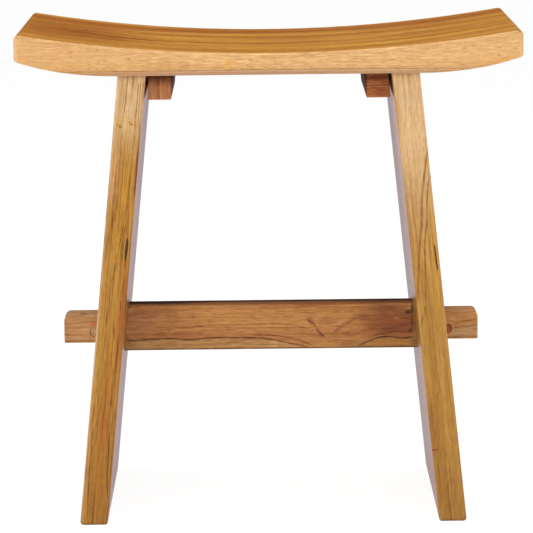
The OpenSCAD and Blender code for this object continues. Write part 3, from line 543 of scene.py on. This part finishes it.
# the rail: red-brown ends, golden middle, a v-shaped crack line and a wavy strip of pale sapwood below;
# first the upper edges of that sapwood and the two arms of the crack
sapEdgeLeft = [(-136, -12.3), (-124, -11.8), (-115, -11.3), (-96, -10.8), (-77, -12.0), (-60, -10.8),
               (-17, -10.8), (-2, -12.2), (10, -14.5), (18, -16.4), (27, -18.4)]
sapEdgeRight = [(91, -15.4), (98, -12.5), (108, -11.0), (115, -11.5), (123, -12.5), (136, -11.5)]
crackLeft = [(33, 8.6), (36.2, 4.2), (40.5, 1.8), (43.4, -4.1), (46.4, -7.6), (51, -10.6)]
crackRight = [(56, -9.6), (61.8, -4.6), (67.8, 0.3), (73.8, 3.2), (80, 7.6)]
railBoard = {
    **plainBoard, "start": (0, -15.5, 163.75), "wobble": 1.0,
    "pith": (-70, 20, 0.02), "driftSize": (160, 14, 20), "light": "#D69F5E", "deep": "#BE854C",
    "streaks": 0.2, "fibre": 0.4, "fibreLong": 14, "rings": 0.4, "frontRings": 0.1,
    "ringColour": "#7E4724", "poreColour": "#6A3A1E", "streakColour": "#B88C66",
    "areas": [
        # the face between the legs
        {"at": (-135, 4, 0), "size": (40, 26, 40), "strength": 0.75, "colour": "#CE8E62"},
        {"at": (118, 2, 0), "size": (52, 22, 40), "strength": 0.85, "colour": "#965634", "core": 0.3},
        {"at": (-20, 10, 0), "size": (110, 11, 40), "strength": 0.6, "colour": "#CB9856"},
        {"at": (-50, -6, 0), "size": (90, 5, 40), "strength": 0.5, "colour": "#BE7E50"},
        {"at": (84, 8, 0), "size": (12, 6, 20), "strength": 0.5, "colour": "#824630"},
        {"at": (112, 5.2, 0), "size": (20, 2.2, 20), "strength": 0.5, "colour": "#A96A38"},
        # the tenons, and painted light on their tops
        {"at": (-180, 0, 0), "size": (38, 60, 300), "strength": 0.95, "colour": "#C99C68", "core": 0.8},
        {"at": (180, 0, 0), "size": (38, 60, 300), "strength": 0.95, "colour": "#D09C62", "core": 0.8},
        {"at": (186, -9, 0), "size": (24, 9, 60), "strength": 0.8, "colour": "#D4B084", "core": 0.5},
        {"at": (-167, 4, 0), "size": (6, 2.4, 6), "strength": 0.8, "colour": "#D07238"},
        {"at": (-180, 16, 0), "size": (60, 4, 300), "strength": 0.9, "colour": "#EBC798", "core": 0.6},
        {"at": (180, 16, 0), "size": (60, 4, 300), "strength": 0.9, "colour": "#E2B988", "core": 0.6},
        # painted shade on the top, under the seat
        {"at": (-110, 21.5, 42), "size": (75, 4, 40), "strength": 0.9, "colour": "#38262C", "core": 0.7},
        {"at": (105, 21.5, 42), "size": (60, 4, 40), "strength": 0.6, "colour": "#4E3430", "core": 0.7},
        {"at": (0, 21.8, 26), "size": (220, 3, 12), "strength": 0.85, "colour": "#33201F", "core": 0.6},
        # more drifts on the face
        {"at": (-70, -12, 0), "size": (75, 6, 30), "strength": 0.5, "colour": "#B4683C"},
        {"at": (108, 17, 0), "size": (34, 6, 20), "strength": 0.45, "colour": "#6E3E26"},
        {"at": (53, 4, 0), "size": (15, 6, 20), "strength": 0.4, "colour": "#8E5230"},
        {"at": (74, -17, 0), "size": (20, 5, 20), "strength": 0.35, "colour": "#7E4828"},
        {"at": (-107, 10, 0), "size": (28, 6, 30), "strength": 0.45, "colour": "#DDA274"},
    ],
    "veins": [
        # the pale sapwood, and the dark line along its edge
        {"path": [*sapEdgeLeft, (38, -21.5)], "under": 0.3, "strength": 0.85, "colour": "#CDA066", "fade": 0},
        {"path": [(80, -21.5), (84, -18.6), *sapEdgeRight], "under": 0.3, "strength": 0.8,
         "colour": "#B88648", "fade": 0},
        {"path": [*sapEdgeLeft, (36, -20)], "width": 1.3, "strength": 0.9, "colour": "#582C16",
         "patchy": 0.3},
        {"path": [(80, -20.5), (84, -18.2), *sapEdgeRight], "width": 1.3, "strength": 0.9,
         "colour": "#4E2416", "patchy": 0.25},
        # grain lines that follow the sapwood
        {"path": [(84, -17.2), (93.4, -11.5), (103.6, -8.1), (116.5, -6.6), (124, -6.8), (136, -7.8)],
         "width": 1.2, "strength": 0.6, "colour": "#6A3024", "patchy": 0.4},
        {"path": [(-20, -8.6), (-3, -8.2), (14, -10.5), (26.8, -13.5), (35.3, -17.4), (42, -19.5)],
         "width": 1.1, "strength": 0.75, "colour": "#7A3420", "patchy": 0.3},
        {"path": [(-117, -4.1), (-98, -2.0), (-77, -0.5), (-64, 1.0), (-34, 1.7), (-2, 2.3), (14, 1.8),
                  (27, -0.7), (37, -4)], "width": 1.0, "strength": 0.65, "colour": "#8A4826",
         "patchy": 0.4},
        {"path": [(24, 1.8), (33, 1.4), (37.5, 3.6)], "width": 0.5, "strength": 0.5, "colour": "#7A4428"},
        # the crack's soft red halo, then the crack itself
        {"path": crackLeft, "width": 5, "strength": 0.35, "colour": "#8A4A38", "fade": 4},
        {"path": crackRight, "width": 5, "strength": 0.3, "colour": "#8E5034", "fade": 6},
        {"path": crackLeft, "width": 1.6, "strength": 0.75, "colour": "#66302A", "patchy": 0.4, "fade": 2},
        {"path": crackRight, "width": 1.0, "strength": 0.6, "colour": "#7A4628", "patchy": 0.3, "fade": 3},
        # thin lines in the sapwood, and painted shade along the lower edge
        {"path": [(-86, -18.7), (-60, -17.2), (-34, -16.7), (-1, -17.0), (12, -19)], "width": 0.6,
         "strength": 0.5, "colour": "#96705A", "patchy": 0.3},
        {"path": [(-90, -19.6), (-40, -19.0), (0, -19.3)], "width": 0.8, "strength": 0.5,
         "colour": "#C08A3A"},
        {"path": [(-140, -21.1), (0, -21.1), (140, -21.1)], "width": 1.5, "core": 0.4, "strength": 0.75,
         "colour": "#5A3426", "fade": 0, "patchy": 0.3},
        # grain of the left tenon
        {"path": [(-194, 4.0), (-182, 4.6), (-172, 5.6), (-160, 6.2)], "width": 0.6, "strength": 0.7,
         "colour": "#7E4D2A", "fade": 1, "patchy": 0.3},
        {"path": [(-194, 10.6), (-184, 11.4), (-170, 10.0), (-160, 11.6)], "width": 0.6, "strength": 0.6,
         "colour": "#8A5630", "fade": 1, "patchy": 0.4},
        {"path": [(-181, 11.6), (-176, 12.8), (-171, 11.6)], "width": 0.9, "strength": 0.7,
         "colour": "#6E4526"},
        {"path": [(-194, -6.6), (-180, -6.2), (-168, -6.8)], "width": 0.6, "strength": 0.55,
         "colour": "#9A6438", "fade": 1, "patchy": 0.3},
        {"path": [(-194, -12.6), (-176, -12.0), (-164, -12.8)], "width": 0.7, "strength": 0.6,
         "colour": "#6E4426", "fade": 1, "patchy": 0.4},
        # grain of the right tenon
        {"path": [(171.5, 1.1), (182, 2.6), (194, 4.8)], "width": 0.7, "strength": 0.75,
         "colour": "#7A4828", "fade": 1, "patchy": 0.2},
        {"path": [(172, -3.2), (182, -2.4), (194, -0.8)], "width": 1.1, "strength": 0.8,
         "colour": "#8A5430", "fade": 1, "patchy": 0.2},
        {"path": [(170, -12.2), (182, -11.2), (194, -11.8)], "width": 0.8, "strength": 0.6,
         "colour": "#8A5430", "fade": 1, "patchy": 0.3},
    ],
    "spots": [
        # stains to the right of the crack
        {"at": (74, -8, 0), "size": (13, 3.6, 4), "strength": 0.6, "colour": "#7A4228", "patchy": True},
        {"at": (119, -1.7, 0), "size": (15, 4.5, 20), "strength": 0.4, "colour": "#7C4432"},
        {"at": (110, -3.2, 0), "size": (12, 4, 8), "strength": 0.6, "colour": "#6E3A34", "patchy": True},
        {"at": (125, 0.5, 0), "size": (9, 3, 8), "strength": 0.5, "colour": "#6A3430", "patchy": True},
        {"at": (118, 6.5, 0), "size": (5, 1.4, 6), "strength": 0.6, "colour": "#C68A48"},
        # green-black marks where the rail meets the right leg
        {"at": (129, 12, 0), "size": (4.6, 3.2, 8), "strength": 0.8, "colour": "#26281A", "core": 0.2},
        {"at": (132.5, 15, 0), "size": (1.8, 8, 8), "strength": 0.9, "colour": "#22221A", "core": 0.2},
        {"at": (132.5, 2, 0), "size": (2, 8, 8), "strength": 0.8, "colour": "#2A2A1A", "patchy": True},
        {"at": (131, -5.6, 0), "size": (3.6, 2.4, 8), "strength": 0.85, "colour": "#2E2A1C"},
        {"at": (134, -17, 0), "size": (5, 4.6, 8), "strength": 0.8, "colour": "#33301E", "patchy": True},
        # red blush at the top of the crack
        {"at": (36, 6, 0), "size": (5, 3, 6), "strength": 0.5, "colour": "#8A4A38"},
        {"at": (33, 14, 0), "size": (6, 4, 6), "strength": 0.35, "colour": "#9A5C3C", "patchy": True},
        # a pale patch, and painted shade in the corners where the rail meets the left leg
        {"at": (-118, -17, 0), "size": (16, 5, 6), "strength": 0.4, "colour": "#DDB47C"},
        {"at": (-134, -12, 0), "size": (4, 5, 6), "strength": 0.5, "colour": "#3A2414", "patchy": True},
        {"at": (-134, 20, 0), "size": (3, 3, 6), "strength": 0.6, "colour": "#2E1A14"},
    ],
}

# the cleats are offcuts: the left one shows upright grain on its end and the right one level grain
cleatBoard = {
    **plainBoard, "pith": (-90, 30, 0.1), "driftSize": (60, 5, 5), "light": "#EDAA76", "deep": "#D48A5A",
    "rings": 0.3, "frontRings": 0.3, "ringColour": "#70361A", "fibre": 0.7, "fibreLong": 12,
    "streaks": 0.6, "streakColour": "#A8704A", "endGrain": 0, "specular": 0.05, "roughness": 0.6, "sheen": 0,
}
leftCleatBoard = {
    **cleatBoard, "start": (-98.95, -86, 384.5), "axes": ((0, 0, 1), (1, 0, 0), (0, 1, 0)),
    "streaks": 0.2, "fibre": 0.45, "lines": 0.2, "light": "#FFC492", "deep": "#EAA272",
    "areas": [
        # painted shade: the upper part of the cleat darkens under the seat
        {"at": (31, 0, 0), "size": (20, 60, 300), "strength": 0.95, "colour": "#502818", "core": 0.42},
    ],
    "spots": [
        # painted shade: a darker band just under the seat, and on the inner side face
        {"at": (28, 0, 0), "size": (7, 60, 300), "strength": 0.8, "colour": "#2E1810", "core": 0.2},
        {"at": (15, 11.5, 90), "size": (60, 3.6, 300), "strength": 0.9, "colour": "#3A221C", "core": 0.2},
    ],
}
rightCleatBoard = {
    **cleatBoard, "start": (98.95, -86, 384.5), "axes": ((1, 0, 0), (0, 0, 1), (0, 1, 0)),
    "areas": [
        # painted shade: the upper part of the cleat darkens under the seat
        {"at": (0, 30, 0), "size": (60, 19, 300), "strength": 0.85, "colour": "#6A3420", "core": 0.3},
    ],
    "spots": [
        # painted shade: a darker band just under the seat, and on the inner side face
        {"at": (0, 28, 0), "size": (60, 7, 300), "strength": 0.8, "colour": "#2E1810", "core": 0.2},
        {"at": (-11.5, 15, 90), "size": (3.6, 60, 300), "strength": 0.9, "colour": "#3A221C", "core": 0.2},
    ],
}

# the pegs: turned teak with fine rings, pale brown on the left and red-brown on the right
pegBoard = {
    **plainBoard, "axes": ((0, 1, 0), (0, 0, 1), (1, 0, 0)), "driftSize": (20, 3, 3), "endGrain": 0.3,
    "ringWidth": 1.6,
}
leftPegBoard = {**pegBoard, "light": "#EBCBA2", "deep": "#B07A50"}
rightPegBoard = {**pegBoard, "light": "#DD8C6C", "deep": "#AC5C44"}

# the dowels: plain turned beech, pale and even
dowelBoard = {
    **plainBoard, "axes": ((0, 0, 1), (1, 0, 0), (0, 1, 0)), "light": "#D8B98C", "deep": "#CBA876",
}

# the screws: sizes in mm, and the turning marks coarser than the real 0.1 mm, so that they show
screwSteel = {
    "colour": "#C4C6C9", "markSize": 0.4, "markDetail": 2, "markRange": (0.3, 0.7), "roughness": (0.25, 0.42),
}


def steelMaterial(name):
    # plain stainless steel: soft metal gloss with faint turning marks
    material = bpy.data.materials.new(name)
    tree = emptyTree(material)
    here = addNode(tree, "TexCoord", ()).outputs["Object"]
    scale = mmPerMetre / screwSteel["markSize"]
    marks = addNode(tree, "TexNoise", {"Vector": here, "Scale": scale, "Detail": screwSteel["markDetail"]})
    rough = addNode(tree, "MapRange", (marks, *screwSteel["markRange"], *screwSteel["roughness"]))
    inputs = {"Base Color": linear(screwSteel["colour"]), "Metallic": 1, "Roughness": rough}
    addNode(tree, "OutputMaterial", [addNode(tree, "BsdfPrincipled", inputs)])
    return material


def dress(material, nodeNames):
    for nodeName in nodeNames:
        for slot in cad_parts[nodeName].material_slots:
            slot.material = material


boards = {
    "oiledTeakSeat": (seatBoard, ["seat"]),
    "oiledTeakLegLeft": (leftLegBoard, ["leg_left"]),
    "oiledTeakLegRight": (rightLegBoard, ["leg_right"]),
    "oiledTeakRail": (railBoard, ["rail"]),
    "redTeakCleatLeft": (leftCleatBoard, ["cleat_left"]),
    "redTeakCleatRight": (rightCleatBoard, ["cleat_right"]),
    "paleTeakPeg": (leftPegBoard, ["peg_left"]),
    "darkTeakPeg": (rightPegBoard, ["peg_right"]),
    "beechDowel": (dowelBoard, ["seat_dowels_left", "seat_dowels_right"]),
}
for name, (board, nodeNames) in boards.items():
    dress(teakMaterial(name, board), nodeNames)
dress(steelMaterial("stainlessSteel"), ["cleat_screws_left", "cleat_screws_right"])
print("boards dressed:", len(boards), "kinds of wood and one steel")

# the photo's viewing angle: metres, degrees and pixels
cameraView = {
    "at": (-0.0111, -3.5886, 0.7066), "pitch": 7.75, "yaw": 0.12, "roll": -0.62,
    "focalPixels": 3848.7, "pictureWidth": 533, "sensorWidth": 36, "clipEnd": 100,
}


def setCamera():
    data = bpy.data.cameras.new("camera")
    data.sensor_width = cameraView["sensorWidth"]
    data.lens = cameraView["focalPixels"] / cameraView["pictureWidth"] * data.sensor_width
    data.clip_end = cameraView["clipEnd"]
    camera = bpy.data.objects.new("camera", data)
    bpy.context.collection.objects.link(camera)
    turn = (math.radians(90 - cameraView["pitch"]), 0, math.radians(-cameraView["yaw"]))
    aim = Euler(turn).to_matrix().to_4x4()
    tilt = Matrix.Rotation(math.radians(cameraView["roll"]), 4, "Z")
    camera.matrix_world = Matrix.Translation(cameraView["at"]) @ aim @ tilt
    bpy.context.scene.camera = camera


# white paper: how much of its own even white it gives to the camera and in reflections, that white's
# strength, and the tint that it has in reflections only
paperFloor = {"size": 60, "colour": "#F7F6F5", "glow": 0.85, "strength": 1.09, "glossTint": "#E6DEEE"}


def setFloor():
    bpy.ops.mesh.primitive_plane_add(size=paperFloor["size"], location=(0, 0, 0))
    floor = bpy.context.object
    floor.name = "floor"
    material = bpy.data.materials.new("whitePaperFloor")
    tree = emptyTree(material)
    ray = addNode(tree, "LightPath", ()).outputs
    seen = addNode(tree, "Math", (ray["Is Camera Ray"], ray["Is Glossy Ray"]), operation="MAXIMUM")
    share = addNode(tree, "Math", (seen, paperFloor["glow"]), operation="MULTIPLY")
    paper = addNode(tree, "BsdfDiffuse", {"Color": linear(paperFloor["colour"])})
    colours = linear("#FFFFFF"), linear(paperFloor["glossTint"])
    tone = addNode(tree, "MixRGB", (ray["Is Glossy Ray"], *colours))
    glow = addNode(tree, "Emission", {"Color": tone, "Strength": paperFloor["strength"]})
    mixed = addNode(tree, "MixShader", (share, paper, glow))
    addNode(tree, "OutputMaterial", [mixed])
    floor.data.materials.append(material)


# the room's light, what glossy rays find where there is no lamp, and the backdrop that the camera sees
studioWorld = {
    "light": ("#FFFFFF", 0.42), "gloss": ("#DCD8E2", 0.06), "backdrop": ("#FFFFFF", 1),
}


def setWorld():
    world = bpy.data.worlds.new("studio")
    bpy.context.scene.world = world
    tree = emptyTree(world)
    ray = addNode(tree, "LightPath", ()).outputs
    light, gloss, backdrop = [addNode(tree, "Background", {"Color": linear(colour), "Strength": strength})
                              for colour, strength in studioWorld.values()]
    mixed = addNode(tree, "MixShader", (ray["Is Glossy Ray"], light, gloss))
    mixed = addNode(tree, "MixShader", (ray["Is Camera Ray"], mixed, backdrop))
    addNode(tree, "OutputWorld", [mixed])


# plain soft lamps around the bench, in metres and watts; the one behind it doesn't shine in the gloss
softboxes = {
    "keySoftbox": {"at": (-0.6, -2.7, 1.7), "aimAt": (0, 0, 0.3), "size": (1.8, 1.4), "power": 40},
    "fillSoftbox": {"at": (1.7, -2.0, 0.9), "aimAt": (0, 0, 0.25), "size": (1.2, 1.4), "power": 2},
    "leftSoftbox": {"at": (-1.8, -0.4, 0.7), "aimAt": (0, 0, 0.3), "size": (1.2, 1.4), "power": 12},
    "rightSoftbox": {"at": (1.8, -0.4, 0.7), "aimAt": (0, 0, 0.3), "size": (1.2, 1.4), "power": 12},
    "backSoftbox": {"at": (0.6, 2.6, 1.5), "aimAt": (0, 0, 0.3), "size": (1.8, 1.4), "power": 20,
                    "shines": False},
    "topSoftbox": {"at": (0, -0.3, 2.2), "aimAt": (0, 0, 0.4), "size": (1.6, 1.2), "power": 23},
}


def addSoftbox(name, at, aimAt, size, power, shines=True):
    data = bpy.data.lights.new(name, "AREA")
    data.shape = "RECTANGLE"
    data.size, data.size_y = size
    data.energy = power
    lamp = bpy.data.objects.new(name, data)
    lamp.visible_glossy = shines
    bpy.context.collection.objects.link(lamp)
    lamp.location = at
    lamp.rotation_euler = (Vector(aimAt) - Vector(at)).to_track_quat("-Z", "Y").to_euler()


setCamera()
setFloor()
setWorld()
for name, softbox in softboxes.items():
    addSoftbox(name, **softbox)
bpy.context.scene.view_settings.view_transform = "Standard"
print("studio set:", len(softboxes), "softboxes")
